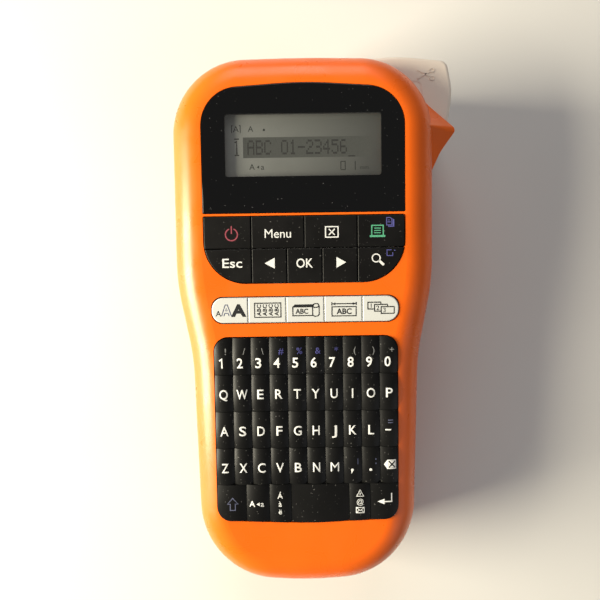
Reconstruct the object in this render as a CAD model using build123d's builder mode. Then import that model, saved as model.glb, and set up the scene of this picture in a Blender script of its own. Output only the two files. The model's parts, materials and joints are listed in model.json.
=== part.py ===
"""Handheld label maker: a keypad label printer with a tape cassette, a cutter lever and six small cells.

Millimetres. The body lies on its back: +X to the right, +Y towards the display end, +Z up out of
the keypad. The origin is on the resting plane, under the middle of the body.
"""

import os
from math import acos, atan2, cos, degrees, hypot, pi, radians, sin, sqrt, tan

from build123d import *

os.makedirs("parts", exist_ok=True)

# ---- shells ----------------------------------------------------------------------------------
WALL = 2.2  # wall of both shells
PARTING_Z = 28.0  # where the two shells meet
FACE_TILT = 3.0  # degrees that the keypad face rises towards the display end
FACE_HEIGHT = 53.5  # height of the face above the origin
FRONT_EDGE_R = 12.0  # rounding between the face and the sides
BACK_EDGE_R = 6.0  # rounding between the back and the sides
FLOOR = 4.4  # thickness of the back
GAP = 0.25  # clearance round covers and windows
KEY_GAP = 0.17  # clearance round each key
CLOSE_GAP = 0.08  # clearance round each shortcut key and letter key, beside its neighbours
FIELD_GAP = 0.38  # clearance between a group of keys and the case round it
VIEW_MARGIN = 1.2  # how much wider the case is cut than the window over the display
RUNNING = 0.05  # radial clearance of a pin in its bore

# Right half of the body's outline: corner points and the rounding at each.
SIDE_X = 49.65
BODY_CORNERS = [
    ((0, 101.5), 500),
    ((SIDE_X, 100.4), 28.5),
    ((SIDE_X, 17), 90),
    ((44.0, -12), 90),
    ((41.8, -98.8), 31),
    ((0, -101.6), 150),
]
SEAM = (0.35, 0.3)  # depth and height of the groove where the two shells meet

# ---- face layout, in the face's own plane: u to the right, v towards the display end ---------
PANEL_HALF = 37.2
PANEL_V = (41.5, 88.75)
PANEL_CORNER_R = 14.0
PANEL_CORNER_DROP = 2.45  # how much lower its top corners lie than the middle of its bowed top
PANEL_T = 1.15
VIEW = (57.0, 22.5, 66.1)  # width, height and centre of the clear window
VIEW_R = 1.0
FUNCTION_V = (15.7, 28.6, 40.7)
FUNCTION_CORNER_R = 15.6
FUNCTION_ROWS = [
    (("escape_key", -37.2), ("left_key", -19.5), ("ok_key", -6.5), ("right_key", 6.5), ("find_key", 19.5)),
    (("power_key", -37.2), ("menu_key", -19.5), ("clear_key", 0.0), ("print_key", 19.5)),
]
STRIP_HALF = 34.9
STRIP_V = (0.95, 11.1)
STRIP_CORNER_R = 4.3
STRIP_KEYS = (
    ("font_key", -34.9),
    ("cable_wrap_key", -21.1),
    ("cable_flag_key", -7.03),
    ("length_key", 7.03),
    ("serial_key", 21.1),
)
PAD_HALF = 34.4
PAD_V = (-73.65, -3.85)
PAD_BOW = 1.4  # how far the pad's lower edge bows down in the middle
PAD_CORNER_R = 5.5
PAD_COLUMNS = 10
COLUMN_PITCH = 6.83
ROW_TOP = -4.2
ROW_PITCH = 13.9
LETTER_ROWS = ("lower_letter_keys", "home_letter_keys", "upper_letter_keys", "number_keys")
BOTTOM_ROW = (
    ("shift_key", -34.15),
    ("caps_key", -23.1),
    ("accent_key", -14.4),
    ("space_key", -6.2),
    ("symbol_key", 15.6),
    ("enter_key", 23.5),
)

# Heights measured from the face, out of the body.
FUNCTION_TOP = 0.3
STRIP_TOP = 0.5
LETTER_TOP = 1.4
KEY_CROWN = 0.85  # how far the middle of a letter key stands above its edges
KEY_BOTTOM = -2.8
WEB_T = 1.2  # web that ties one row of letter keys together
MAT = (-5.1, -4.0)
BOARD = (-6.8, -5.2)
GLASS = (-4.3, -2.4)
HOLDER = (-5.1, -2.25)
GLASS_MARGIN = (4.0, 3.0)  # how much wider and taller than the window the display glass is
HOLDER_MARGIN = (8.0, 6.6)
MAT_V = (-76.0, 40.4)
MAT_HALF = 35.7
BOARD_V = (-76.6, 80.4)
BOARD_HALF = 36.7
# Each chip or block under the board: place on the face, width, height and thickness.
CHIPS = (
    (-14, 22, 12, 12, 1.6),
    (10, 20, 9, 14, 1.4),
    (-8, -30, 10, 10, 1.4),
    (12, -34, 7, 7, 1.2),
    (24, 2, 5, 12, 3.0),
    (-24, 0, 5, 9, 2.4),
    (0, -62, 16, 6, 2.6),
)
CAPACITORS = ((-26, 24), (-26, 32), (26, 30), (20, -52))
CAPACITOR = (2.5, 5.0)  # radius and height

# ---- back cover, battery bay and screws ------------------------------------------------------
COVER_INSET = 7.5
COVER_Y = (-86.0, 86.5)
COVER_Z = (0.2, 2.2)
COVER_CORNER_R = 4.0
RIB_X = (30.5, 31.7)  # the ribs on the inside of the back cover
RIB_HEIGHT = 0.9
RECESS_Z = 2.4
CELL_R = 5.2
CELL_LENGTH = 43.7
CELL_NUB = (1.9, 0.8)
CELL_COUNT = 6
CELL_PITCH = 10.6
CELL_Y = -49.8
CELL_Z = 9.3
CONTACT_HALF = (4.2, 4.5)  # half width and half height of a contact plate
CONTACT_T = 0.4
CONTACT_DIMPLE_R = 1.6
CONTACT_CLEAR = 0.05
COIL_R = 3.4
COIL_TAPER = 0.5  # how much smaller each turn of a contact coil is
COIL_TURNS = 4
BAY_X = 33.2
BAY_Y = (-75.8, -23.8)
BAY_TOP = 15.2
BAY_WALL = 1.5
SCREW_POINTS = ((-24.0, -82.5), (24.0, -82.5), (-29.0, -1.6), (29.0, -1.6), (-36.5, 83.5), (36.8, 83.0))
BOSS_R = 2.5
BOSS_SPLIT_Z = 14.0
SCREW_TOP = 24.0
SCREW_R = 1.45
SCREW_HEAD = (2.5, 1.6)
SCREW_SLOT = (3.0, 0.6, 1.6)
SCREW_SEAT = 0.2  # height of the screw heads above the recess

# ---- tape cassette and the mechanism round it ------------------------------------------------
CASSETTE_X = (-38.5, 35.5)
CASSETTE_Y = (18.0, 78.0)
CASSETTE_Z = (3.7, 19.2)
CASSETTE_NOTCH = (21.0, 70.5)  # corner left out of the cassette for the print head
CASSETTE_SPLIT_Z = 11.4
CASSETTE_WALL = 1.2
TAPE_Y = 75.6
EXIT_HALF = 0.7  # half the height of the slot the tape leaves through
EXIT_Z = (5.0, 18.0)
MOUTH_HALF = 0.8  # half the height of the cassette's mouth
TAPE_Z = (5.6, 17.4)
TAPE_T = 0.15
TAPE_ROLL = (-16.0, 46.0, 20.0)
TAPE_HUB_R = 8.0
TAPE_POST_R = 4.0
SUPPLY = (16.0, 34.0, 8.5)
TAKEUP_R = 7.0
SPOOL_POST_R = 2.5
GUIDE = (12.0, 73.9)
PLATE_X = (-41.0, 41.0)
PLATE_Y = (15.0, 85.5)
PLATE_Z = (20.0, 22.0)
PLATE_HOLES = ((-24.0, 40.0), (12.0, 30.0))
PLATE_HOLE_R = 6.0
MOTOR_SHELF = (10.0, 9.0)  # half width of the shelf over the motor, and its reach beyond the motor's axis
SHAFT_END = 0.8  # how far shafts stand out of the gears on them
HOLDER_HALF = 5.0  # half width of the platen holder
HOLDER_Z = (2.9, 4.3)
HOLDER_BACK_Y = 85.3
HEAD_HALF = 3.5
PLATEN = (27.0, 80.0)
PLATEN_R = 4.0
SHAFT_R = 1.5

# Gear train.
MODULE = 0.6
PRESSURE_ANGLE = 20.0
BACKLASH = 0.14
PINION_TEETH = 12
FIRST_TEETH = (40, 14)
SECOND_TEETH = 36
PLATEN_TEETH = 18
RIBBON_TEETH = 24
LEVEL_1 = (22.7, 26.1)
LEVEL_2 = (26.7, 30.3)
MOTOR = (-8.0, 88.0)
MOTOR_R = 7.4
MOTOR_SHAFT_R = 1.0  # of the bore that the pinion's shaft turns in
SECOND = (12.0, 73.9)
RIBBON_ANGLE = -60.0

# ---- cutter lever ----------------------------------------------------------------------------
POCKET_X = (12.5, 45.0)
POCKET_Y = (89.5, 72.5)
POCKET_Z = (4.4, 44.0)
LEVER_PIVOT = (18.0, 94.5)
SLOT_X = (24.0, 40.0)  # slot for the lever's flange: its left end, and its wall beside the display
SLOT_Y = (84.5, 77.0)  # wall of the slot under the display's corner, and its lower end
SLOT_Z = 40.9
LEVER_Z = (5.0, 43.5)
LEVER_OUTLINE = [
    ((13.6, 98.4), 0),
    ((18.5, 102.7), 8.0),
    ((36.0, 104.8), 70),
    ((57.0, 102.5), 3.6),
    ((59.2, 90.5), 30),
    ((57.0, 78.0), 1.2),
    ((48.4, 78.0), 0),
    ((45.9, 89.6), 4.0),
    ((45.4, 93.2), 1.0),
    ((24.0, 91.6), 8.0),
    ((13.6, 90.4), 0),
]
# Outline of the flange along the lever's top, which slides into the slot and closes the gap beside it.
FLANGE_OUTLINE = [
    ((25.0, 101.0), 0),
    ((54.0, 101.0), 0),
    ((54.0, 80.0), 0),
    ((48.4, 79.0), 0),
    ((44.6, 82.5), 2.0),
    ((41.6, 87.8), 2.0),
    ((25.0, 92.4), 0),
]
LEVER_HUB_R = 4.3
LEVER_WALL = 2.0
LEVER_RIM_R = 1.6
LEVER_RIM_DROP = 0.2  # how far the flange lies below the lever's top
SPRING_R = 2.6
SPRING_WIRE_R = 0.35
SPRING_TURNS = 6
BLADE_X = (48.0, 48.6)
BLADE_Z = (6.0, 19.0)
ANVIL_X = (45.0, 45.5)
TIP = (59.6, 74.75)  # tip of the pointed guard over the lever's lower end
CHEEK_BEND = (53.2, 66.0)  # where the guard's lower edge turns out towards the tip
CHEEK_FOOT = (49.3, 57.6)  # where that edge leaves the body's side
GUARD_Z = (44.0, 45.0, 54.0)  # underside of the guard, top of its rim, and where it runs into the body
GUARD_ROOT = (44.0, 74.0)  # point that the guard narrows towards
GUARD_SHRINK = 0.13
GUARD_SWEEP = 1.3  # how strongly its upper surface is hollowed: 1 is straight
GUARD_STEPS = 5

# ---- power inlet -----------------------------------------------------------------------------
INLET_YZ = (55.0, 41.5)
INLET_BORE_R = 2.75
INLET_PIN_R = 0.85
INLET_BODY = (13.5, 9.0, 10.5)

NORMAL = (0, -sin(radians(FACE_TILT)), cos(radians(FACE_TILT)))
FACE = Plane(origin=(0, 0, FACE_HEIGHT), x_dir=(1, 0, 0), z_dir=NORMAL)


# ---- shared shapes ---------------------------------------------------------------------------
def save(part, label):
    """Names a finished piece and writes it to its own STEP file."""
    part.label = label
    export_step(part, f"parts/{label}.step")


def on_face(part):
    """Moves a piece drawn on the XY plane to the same place on the tilted face."""
    return part.moved(FACE.location)


def slab(sketch, low, high):
    """A sketch on the XY plane, extruded from one height to another."""
    with BuildPart() as solid:
        add(sketch.moved(Location((0, 0, low))))
        extrude(amount=high - low)
    return solid.part


def box(x, y, z):
    """A box given by its limits along each axis."""
    with BuildPart() as solid:
        with Locations(((x[0] + x[1]) / 2, (y[0] + y[1]) / 2, (z[0] + z[1]) / 2)):
            Box(x[1] - x[0], y[1] - y[0], z[1] - z[0])
    return solid.part


def rod(centre, radius, low, high):
    """A vertical cylinder between two heights."""
    with BuildPart() as solid:
        with Locations((centre[0], centre[1], low)):
            Cylinder(radius, high - low, align=(Align.CENTER, Align.CENTER, Align.MIN))
    return solid.part


def rounded_polygon(corners, grow=0.0):
    """A closed polygon with its own rounding at each corner, grown evenly if asked."""
    with BuildSketch() as shape:
        with BuildLine():
            Polyline(*[point for point, _ in corners], close=True)
        make_face()
        for point, radius in corners:
            if radius:
                fillet(shape.vertices().sort_by_distance(point)[0], radius)
        if grow:
            offset(amount=grow, kind=Kind.ARC)
    return shape.sketch


def body_outline(inset=0.0):
    """The body's outline, inset evenly from the outside."""
    left = [((-x, y), radius) for (x, y), radius in reversed(BODY_CORNERS) if x > 0]
    return rounded_polygon(BODY_CORNERS + left, -inset)


def front_block(inset, depth, edge_radius, low):
    """The body above a height, cut off at a depth below the face and rounded along that edge."""
    with BuildPart() as block:
        add(body_outline(inset).moved(Location((0, 0, low))))
        extrude(amount=FACE_HEIGHT * 2)
        split(bisect_by=FACE.offset(-depth), keep=Keep.BOTTOM)
        fillet(block.faces().sort_by(Axis.Z)[-1].edges(), edge_radius)
    return block.part


def back_block(inset, floor, edge_radius):
    """The body below the parting plane, rounded along its back edge."""
    with BuildPart() as block:
        add(body_outline(inset).moved(Location((0, 0, floor))))
        extrude(amount=PARTING_Z - floor)
        fillet(block.faces().sort_by(Axis.Z)[0].edges(), edge_radius)
    return block.part


def pocket(grow=0.0):
    """The corner hollow that the lever swings in, with a slot along its top for the lever's flange."""
    left, wall = POCKET_X[0] - grow, POCKET_X[1] - grow
    top, bottom = POCKET_Y[0] - grow, POCKET_Y[1] - grow
    far = 130
    points = [(left, far), (left, top), (wall, top), (wall, bottom), (far, bottom), (far, far)]
    plan = rounded_polygon([(point, 0) for point in points])
    left, wall = SLOT_X[0] - grow, SLOT_X[1] - grow
    top, bottom = SLOT_Y[0] - grow, SLOT_Y[1] - grow
    points = [(left, far), (left, top), (wall, top), (wall, bottom), (far, bottom), (far, far)]
    slot = rounded_polygon([(point, 0) for point in points])
    hollow = slab(plan, POCKET_Z[0] - grow, POCKET_Z[1] + grow)
    return hollow + slab(slot, SLOT_Z - grow, POCKET_Z[1] + grow)


def panel_shape(grow=0.0):
    """Outline of the display panel: square below, rounded above."""
    low, high = PANEL_V
    corners = [
        ((-PANEL_HALF, low), 0.6),
        ((PANEL_HALF, low), 0.6),
        ((PANEL_HALF, high - PANEL_CORNER_DROP), PANEL_CORNER_R),
        ((0, high), 150),
        ((-PANEL_HALF, high - PANEL_CORNER_DROP), PANEL_CORNER_R),
    ]
    return rounded_polygon(corners, grow)


def view_shape(grow=0.0):
    """Outline of the clear window over the display."""
    width, height, middle = VIEW
    with BuildSketch() as shape:
        with Locations((0, middle)):
            RectangleRounded(width + 2 * grow, height + 2 * grow, VIEW_R)
    return shape.sketch


def function_shape(grow=0.0):
    """Outline of the function keys: square above, rounded below."""
    low, high = FUNCTION_V[0], FUNCTION_V[2]
    corners = [
        ((-PANEL_HALF, high), 0.6),
        ((PANEL_HALF, high), 0.6),
        ((PANEL_HALF, low), FUNCTION_CORNER_R),
        ((-PANEL_HALF, low), FUNCTION_CORNER_R),
    ]
    return rounded_polygon(corners, grow)


def strip_shape(grow=0.0):
    """Outline of the strip of shortcut keys."""
    low, high = STRIP_V
    with BuildSketch() as shape:
        with Locations((0, (low + high) / 2)):
            RectangleRounded(2 * (STRIP_HALF + grow), high - low + 2 * grow, STRIP_CORNER_R)
    return shape.sketch


def pad_shape(grow=0.0):
    """Outline of the letter pad, its lower edge slightly bowed."""
    low, high = PAD_V
    corners = [
        ((-PAD_HALF, high), PAD_CORNER_R),
        ((PAD_HALF, high), PAD_CORNER_R),
        ((PAD_HALF, low), PAD_CORNER_R),
        ((0, low - PAD_BOW), 200),
        ((-PAD_HALF, low), PAD_CORNER_R),
    ]
    return rounded_polygon(corners, grow)


def cell(field, left, right, low, high, gap=KEY_GAP):
    """One key's outline: a rectangle cut to the field it sits in, with clearance all round."""
    with BuildSketch() as shape:
        with Locations(((left + right) / 2, (low + high) / 2)):
            Rectangle(right - left - 2 * gap, high - low - 2 * gap)
        add(field, mode=Mode.INTERSECT)
    return shape.sketch


def flat_key(outline, top, edge_radius):
    """A flat-topped key with a softened rim."""
    with BuildPart() as key:
        add(slab(outline, KEY_BOTTOM, top))
        chosen = key.faces().sort_by(Axis.Z)[-1].edges()
        fillet(chosen, edge_radius)
    return on_face(key.part)


def crowned(left, right, low, high, top):
    """A body whose upper side is crowned both ways over a rectangle, highest in the middle."""
    across = ((right - left) / 2) ** 2 / (2 * KEY_CROWN)
    along = ((high - low) / 2) ** 2 / (2 * KEY_CROWN)
    outer, inner = max(across, along), min(across, along)
    turn = (0, 90, 0) if along > across else (90, 0, 0)
    with BuildPart() as crown:
        with Locations(((left + right) / 2, (low + high) / 2, top - outer)):
            Torus(outer - inner, inner, rotation=turn)
    return crown.part


def letter_key(field, left, right, low, high):
    """One letter key, crowned, drawn flat before it goes on the face."""
    with BuildPart() as key:
        add(slab(cell(field, left, right, low, high, CLOSE_GAP), KEY_BOTTOM, LETTER_TOP))
        add(crowned(left, right, low, high, LETTER_TOP), mode=Mode.INTERSECT)
    return key.part


def tape_slot(left, right):
    """The slot that the tape leaves through, from left to right."""
    return box((left, right), (TAPE_Y - EXIT_HALF, TAPE_Y + EXIT_HALF), EXIT_Z)


def ring(centre, outer, inner, low, high):
    """A tube standing on end."""
    return rod(centre, outer, low, high) - rod(centre, inner, low - 1, high + 1)


# ---- gears -----------------------------------------------------------------------------------
def gear(teeth, centre, phase, low, high, bore):
    """An involute spur gear with one tooth centred on the phase angle."""
    pitch_r = MODULE * teeth / 2
    base_r = pitch_r * cos(radians(PRESSURE_ANGLE))
    tip_r = pitch_r + MODULE * 0.95
    root_r = pitch_r - MODULE * 1.25
    half = (pi * MODULE / 2 - BACKLASH) / (2 * pitch_r)
    involute = tan(radians(PRESSURE_ANGLE)) - radians(PRESSURE_ANGLE)
    steps = 4
    start_r = max(base_r, root_r)
    flank = []
    for step in range(steps + 1):
        radius = start_r + (tip_r - start_r) * step / steps
        angle = acos(base_r / radius)
        flank.append((radius, half + involute - (tan(angle) - angle)))
    if root_r < start_r:
        flank.insert(0, (root_r, flank[0][1]))
    points = []
    for tooth in range(teeth):
        middle = radians(phase) + 2 * pi * tooth / teeth
        right_side = [(radius, middle - turn) for radius, turn in flank]
        left_side = [(radius, middle + turn) for radius, turn in reversed(flank)]
        points += [(radius * cos(angle), radius * sin(angle)) for radius, angle in right_side + left_side]
    with BuildSketch() as shape:
        with BuildLine():
            Polyline(*points, close=True)
        make_face()
        Circle(bore, mode=Mode.SUBTRACT)
    return slab(shape.sketch.moved(Location((centre[0], centre[1], 0))), low, high)


def meshed(phase, teeth, other_teeth, centre, other_centre):
    """Phase of a gear that puts one of its gaps where the first gear has a tooth."""
    toward = degrees(atan2(other_centre[1] - centre[1], other_centre[0] - centre[0]))
    return toward + 180 + (toward - phase) * teeth / other_teeth + 180 / other_teeth


def meeting_point(start, start_distance, end, end_distance):
    """The point at given distances from two others, on the cassette's side of the line between them."""
    span = hypot(end[0] - start[0], end[1] - start[1])
    along = (start_distance**2 - end_distance**2 + span**2) / (2 * span)
    away = sqrt(start_distance**2 - along**2)
    ux, uy = (end[0] - start[0]) / span, (end[1] - start[1]) / span
    return (start[0] + along * ux + away * uy, start[1] + along * uy - away * ux)


FIRST = meeting_point(
    MOTOR,
    MODULE * (PINION_TEETH + FIRST_TEETH[0]) / 2,
    SECOND,
    MODULE * (FIRST_TEETH[1] + SECOND_TEETH) / 2,
)
TAKEUP = (
    SECOND[0] + MODULE * (SECOND_TEETH + RIBBON_TEETH) / 2 * cos(radians(RIBBON_ANGLE)),
    SECOND[1] + MODULE * (SECOND_TEETH + RIBBON_TEETH) / 2 * sin(radians(RIBBON_ANGLE)),
)
platen_reach = MODULE * (SECOND_TEETH + PLATEN_TEETH) / 2
platen_span = hypot(PLATEN[0] - SECOND[0], PLATEN[1] - SECOND[1])
PLATEN = (
    SECOND[0] + (PLATEN[0] - SECOND[0]) * platen_reach / platen_span,
    SECOND[1] + (PLATEN[1] - SECOND[1]) * platen_reach / platen_span,
)

first_phase = 0.0
small_phase = 0.0
pinion_phase = meshed(first_phase, FIRST_TEETH[0], PINION_TEETH, FIRST, MOTOR)
second_phase = meshed(small_phase, FIRST_TEETH[1], SECOND_TEETH, FIRST, SECOND)
platen_phase = meshed(second_phase, SECOND_TEETH, PLATEN_TEETH, SECOND, PLATEN)
ribbon_phase = meshed(second_phase, SECOND_TEETH, RIBBON_TEETH, SECOND, TAKEUP)


# ---- front case ------------------------------------------------------------------------------
def guard():
    """The pointed guard that flares out of the top corner over the lever's lower end."""
    corners = [
        ((44.0, CHEEK_FOOT[1]), 0),
        (CHEEK_FOOT, 0),
        (CHEEK_BEND, 20),
        (TIP, 1.9),
        ((49.8, 83.3), 25),
        ((41.3, 91.8), 0),
        ((40.0, 88.0), 0),
    ]
    plan = rounded_polygon(corners)
    low, rim, high = GUARD_Z
    with BuildPart() as flare:
        for step in range(GUARD_STEPS + 1):
            share = step / GUARD_STEPS
            size = GUARD_SHRINK + (1 - GUARD_SHRINK) * (1 - share) ** GUARD_SWEEP
            place = (GUARD_ROOT[0] * (1 - size), GUARD_ROOT[1] * (1 - size), rim + (high - rim) * share)
            add(plan.scale(size).moved(Location(place)))
        loft()
    return flare.part + slab(plan, low, rim)


def cheek(low, high):
    """The side wall below the guard, flared out to meet it."""
    corners = [
        ((44.0, POCKET_Y[1]), 0),
        ((57.5, POCKET_Y[1]), 1.0),
        (CHEEK_BEND, 20),
        (CHEEK_FOOT, 0),
        ((44.0, CHEEK_FOOT[1]), 0),
    ]
    return slab(rounded_polygon(corners), low, high)


def seam():
    """The fine groove round the outside where the two shells meet."""
    depth, height = SEAM
    low, high = PARTING_Z - height / 2, PARTING_Z + height / 2
    return slab(body_outline(-1.0), low, high) - slab(body_outline(depth), low - 1, high + 1)


with BuildPart() as front_case:
    add(front_block(0, 0, FRONT_EDGE_R, PARTING_Z))
    add(pocket(), mode=Mode.SUBTRACT)
    add(guard())
    add(cheek(PARTING_Z, POCKET_Z[1]))
    add(front_block(WALL, WALL, FRONT_EDGE_R - WALL, PARTING_Z - 1) - pocket(WALL), mode=Mode.SUBTRACT)
    for point in SCREW_POINTS:
        solid_boss = rod(point, BOSS_R, BOSS_SPLIT_Z, FACE_HEIGHT + 10)
        add(solid_boss.split(FACE.offset(-WALL / 2 - 0.4), keep=Keep.BOTTOM))
        add(rod(point, SCREW_R, BOSS_SPLIT_Z - 1, SCREW_TOP), mode=Mode.SUBTRACT)
    add(on_face(slab(panel_shape(0.05), -PANEL_T - 0.05, 5)), mode=Mode.SUBTRACT)
    add(on_face(slab(view_shape(VIEW_MARGIN), -10, 5)), mode=Mode.SUBTRACT)
    for shape in (function_shape(), strip_shape(), pad_shape()):
        add(on_face(slab(shape, -10, 5)), mode=Mode.SUBTRACT)
    with Locations(Location((-50, INLET_YZ[0], INLET_YZ[1]), (0, 90, 0))):
        Cylinder(INLET_BORE_R + 1.2, 8, mode=Mode.SUBTRACT)
    add(seam(), mode=Mode.SUBTRACT)
save(front_case.part, "front_case")


# ---- rear case -------------------------------------------------------------------------------
def cover_shape(grow=0.0):
    """Outline of the back cover, following the body's sides."""
    with BuildSketch() as shape:
        add(body_outline(COVER_INSET))
        with Locations((0, (COVER_Y[0] + COVER_Y[1]) / 2)):
            Rectangle(120, COVER_Y[1] - COVER_Y[0], mode=Mode.INTERSECT)
        by_height = shape.vertices().sort_by(Axis.Y)
        fillet(by_height[:2] + by_height[-2:], COVER_CORNER_R)
        if grow:
            offset(amount=grow, kind=Kind.ARC)
    return shape.sketch


bay_outer = (
    (-BAY_X - BAY_WALL, BAY_X + BAY_WALL),
    (BAY_Y[0] - BAY_WALL, BAY_Y[1] + BAY_WALL),
    (RECESS_Z, BAY_TOP + BAY_WALL),
)
tape_bay = ((CASSETTE_X[0] - 0.5, CASSETTE_X[1] + 0.5), (CASSETTE_Y[0] - 0.5, CASSETTE_Y[1] + 0.5))
tape_wall = (
    (tape_bay[0][0] - BAY_WALL, tape_bay[0][1] + BAY_WALL),
    (tape_bay[1][0] - BAY_WALL, tape_bay[1][1] + BAY_WALL),
)
head_opening = ((CASSETTE_NOTCH[0] - 3.0, 39.0), (CASSETTE_NOTCH[1] - 2.0, 85.5))

with BuildPart() as rear_case:
    add(back_block(0, 0, BACK_EDGE_R))
    add(pocket(), mode=Mode.SUBTRACT)
    add(cheek(8.0, PARTING_Z))
    add(back_block(WALL, FLOOR, 3.0) - pocket(WALL), mode=Mode.SUBTRACT)
    add(box(*bay_outer))
    add(box(*tape_wall, (RECESS_Z, PLATE_Z[0])))
    add(slab(cover_shape(GAP), -1, RECESS_Z), mode=Mode.SUBTRACT)
    add(box((-BAY_X, BAY_X), BAY_Y, (0, BAY_TOP)), mode=Mode.SUBTRACT)
    add(box(*tape_bay, (0, PLATE_Z[0] + 1)), mode=Mode.SUBTRACT)
    add(box(*head_opening, (0, PLATE_Z[0] + 1)), mode=Mode.SUBTRACT)
    for point in SCREW_POINTS:
        add(rod(point, BOSS_R + 1.2, RECESS_Z, BOSS_SPLIT_Z))
    for point in SCREW_POINTS:
        add(rod(point, SCREW_HEAD[0] + 0.3, 0, RECESS_Z + SCREW_HEAD[1] + 0.2), mode=Mode.SUBTRACT)
        add(rod(point, SCREW_R, 0, BOSS_SPLIT_Z + 1), mode=Mode.SUBTRACT)
    add(tape_slot(POCKET_X[1] - 5, POCKET_X[1] + 1), mode=Mode.SUBTRACT)
    add(seam(), mode=Mode.SUBTRACT)
save(rear_case.part, "rear_case")

with BuildPart() as back_cover:
    add(slab(cover_shape(), *COVER_Z))
    chamfer(back_cover.faces().sort_by(Axis.Z)[0].edges(), 0.4)
    for bay in ((BAY_Y[0] + 1.0, BAY_Y[1] - 1.0), (CASSETTE_Y[0], CASSETTE_Y[1] - 10.0)):
        for side in (-1, 1):
            rib = sorted((side * RIB_X[0], side * RIB_X[1]))
            add(box(rib, bay, (COVER_Z[1] - 0.1, COVER_Z[1] + RIB_HEIGHT)))
    with Locations([(0, COVER_Y[0] + 6.0 + 2.4 * step, COVER_Z[0]) for step in range(4)]):
        Box(22, 1.0, 0.8, mode=Mode.SUBTRACT)
save(back_cover.part, "back_cover")

# ---- cells, contacts, screws -----------------------------------------------------------------
cell_columns = [(index - (CELL_COUNT - 1) / 2) * CELL_PITCH for index in range(CELL_COUNT)]

with BuildPart() as battery_cells:
    for index, x in enumerate(cell_columns):
        up = 1 if index % 2 else -1
        end = CELL_Y + up * CELL_LENGTH / 2
        with Locations(Location((x, CELL_Y, CELL_Z), (90, 0, 0))):
            Cylinder(CELL_R, CELL_LENGTH)
        with Locations(Location((x, end + up * CELL_NUB[1] / 2, CELL_Z), (90, 0, 0))):
            Cylinder(CELL_NUB[0], CELL_NUB[1])
save(battery_cells.part, "battery_cells")

with BuildPart() as battery_contacts:
    for index, x in enumerate(cell_columns):
        up = 1 if index % 2 else -1
        flat = BAY_Y[1] if up > 0 else BAY_Y[0]
        coiled = BAY_Y[0] if up > 0 else BAY_Y[1]
        sides = (x - CONTACT_HALF[0], x + CONTACT_HALF[0])
        heights = (CELL_Z - CONTACT_HALF[1], CELL_Z + CONTACT_HALF[1])
        plate_face = flat - up * CONTACT_T
        start_y = coiled + up * CONTACT_T
        add(box(sides, sorted((flat, plate_face)), heights))
        add(box(sides, sorted((coiled, start_y)), heights))
        tip_y = CELL_Y + up * (CELL_LENGTH / 2 + CELL_NUB[1])
        with Locations(Location((x, (plate_face + tip_y) / 2, CELL_Z), (90, 0, 0))):
            Cylinder(CONTACT_DIMPLE_R, abs(plate_face - tip_y))
        back_y = CELL_Y - up * (CELL_LENGTH / 2 + CONTACT_CLEAR)
        turn_length = (back_y - start_y) / COIL_TURNS
        for turn in range(COIL_TURNS):
            with Locations(Location((x, start_y + turn_length * (turn + 0.5), CELL_Z), (90, 0, 0))):
                Torus(COIL_R - COIL_TAPER * turn, abs(turn_length) / 2 + 0.02)
save(battery_contacts.part, "battery_contacts")

with BuildPart() as case_screws:
    head_z = RECESS_Z + SCREW_SEAT
    for point in SCREW_POINTS:
        add(rod(point, SCREW_HEAD[0], head_z, head_z + SCREW_HEAD[1]))
        add(rod(point, SCREW_R, head_z + SCREW_HEAD[1], SCREW_TOP - 0.5))
    for point in SCREW_POINTS:
        with Locations((point[0], point[1], head_z)):
            Box(*SCREW_SLOT, mode=Mode.SUBTRACT)
            Box(SCREW_SLOT[1], SCREW_SLOT[0], SCREW_SLOT[2], mode=Mode.SUBTRACT)
save(case_screws.part, "case_screws")

# ---- display ---------------------------------------------------------------------------------
with BuildPart() as display_panel:
    add(slab(panel_shape(-0.05), -PANEL_T, 0))
    fillet(display_panel.faces().sort_by(Axis.Z)[-1].edges(), 0.35)
    add(slab(view_shape(), -5, 5), mode=Mode.SUBTRACT)
save(on_face(display_panel.part), "display_panel")
save(on_face(slab(view_shape(-0.04), -PANEL_T, -0.03)), "display_window")

with BuildPart() as lcd_glass:
    with Locations((0, VIEW[2], (GLASS[0] + GLASS[1]) / 2)):
        Box(VIEW[0] + GLASS_MARGIN[0], VIEW[1] + GLASS_MARGIN[1], GLASS[1] - GLASS[0])
save(on_face(lcd_glass.part), "lcd_glass")

with BuildPart() as lcd_holder:
    with Locations((0, VIEW[2], (HOLDER[0] + HOLDER[1]) / 2)):
        Box(VIEW[0] + HOLDER_MARGIN[0], VIEW[1] + HOLDER_MARGIN[1], HOLDER[1] - HOLDER[0])
    with Locations((0, VIEW[2], (GLASS[0] + 1) / 2)):
        Box(VIEW[0] + GLASS_MARGIN[0], VIEW[1] + GLASS_MARGIN[1], 1 - GLASS[0], mode=Mode.SUBTRACT)
save(on_face(lcd_holder.part), "lcd_holder")


# ---- board and key membrane ------------------------------------------------------------------
def plate_under_keys(low_v, high_v, half, heights):
    """A sheet under the keys, rounded at its corners and clear of the screw bosses."""
    with BuildSketch() as plan:
        with Locations((0, (low_v + high_v) / 2)):
            RectangleRounded(2 * half, high_v - low_v, 6.0)
    sheet = on_face(slab(plan.sketch, *heights))
    for point in SCREW_POINTS:
        sheet = sheet - rod(point, BOSS_R + 0.6, 0, 80)
    return sheet


with BuildPart() as key_mat:
    add(plate_under_keys(*MAT_V, MAT_HALF, MAT))
save(key_mat.part, "key_mat")

with BuildPart() as main_board:
    add(plate_under_keys(*BOARD_V, BOARD_HALF, BOARD))
save(main_board.part, "main_board")

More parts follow.
